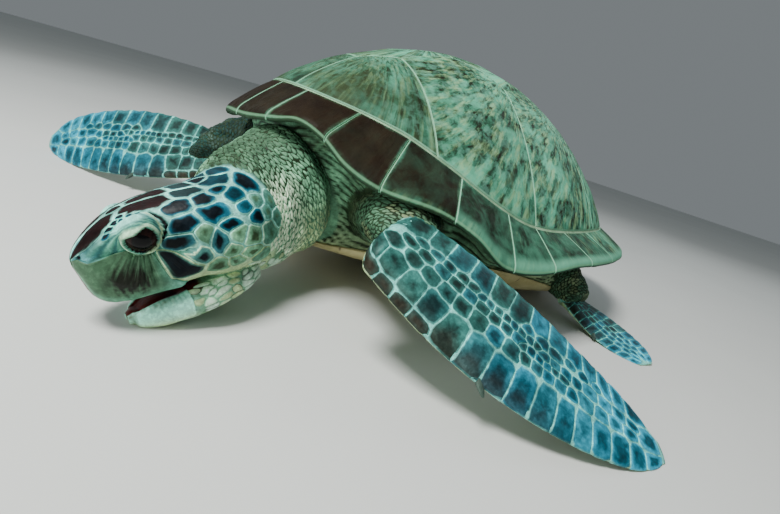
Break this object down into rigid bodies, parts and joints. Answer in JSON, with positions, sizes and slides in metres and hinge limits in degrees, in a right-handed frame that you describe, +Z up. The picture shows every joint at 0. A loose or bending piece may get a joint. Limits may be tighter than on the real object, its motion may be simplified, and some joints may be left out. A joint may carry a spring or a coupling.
{
  "type": "green sea turtle",
  "caption": "Life-size green sea turtle lying on the ground with its head bent to its left and lowered to feed, front flippers spread.",
  "frame": {"origin": "on the ground under the middle of the animal's bounding box", "axes": "head towards -Y, the turtle's left towards +X, +Z up from the ground"},
  "size_m": [1.122, 1.3524, 0.4503],
  "materials": {
    "carapace": "satin",
    "plastron": "satin",
    "skin": "matte",
    "head_scales": "satin",
    "flipper_scales": "satin",
    "beak": "satin",
    "eye": "gloss",
    "claw": "satin"
  },
  "bodies": {
    "root": {"nuchal": "carapace", "marginal_left_1": "carapace", "marginal_left_2": "carapace", "marginal_left_3": "carapace", "marginal_left_4": "carapace", "marginal_left_5": "carapace", "marginal_left_6": "carapace", "marginal_left_7": "carapace", "marginal_left_8": "carapace", "marginal_left_9": "carapace", "marginal_left_10": "carapace", "marginal_left_11": "carapace", "marginal_left_12": "carapace", "marginal_right_1": "carapace", "marginal_right_2": "carapace", "marginal_right_3": "carapace", "marginal_right_4": "carapace", "marginal_right_5": "carapace", "marginal_right_6": "carapace", "marginal_right_7": "carapace", "marginal_right_8": "carapace", "marginal_right_9": "carapace", "marginal_right_10": "carapace", "marginal_right_11": "carapace", "marginal_right_12": "carapace", "costal_left_1": "carapace", "costal_left_2": "carapace", "costal_left_3": "carapace", "costal_left_4": "carapace", "costal_right_1": "carapace", "costal_right_2": "carapace", "costal_right_3": "carapace", "costal_right_4": "carapace", "vertebral_1": "carapace", "vertebral_2": "carapace", "vertebral_3": "carapace", "vertebral_4": "carapace", "vertebral_5": "carapace", "plastron": "plastron", "trunk": "skin", "neck": "skin", "head": "head_scales", "lower_jaw": "beak", "eye_left": "eye", "eye_right": "eye", "flipper_front_left": "flipper_scales", "claw_front_left": "claw", "flipper_front_right": "flipper_scales", "claw_front_right": "claw", "flipper_hind_left": "flipper_scales", "claw_hind_left": "claw", "flipper_hind_right": "flipper_scales", "claw_hind_right": "claw", "tail": "skin"}
  },
  "joints": []
}
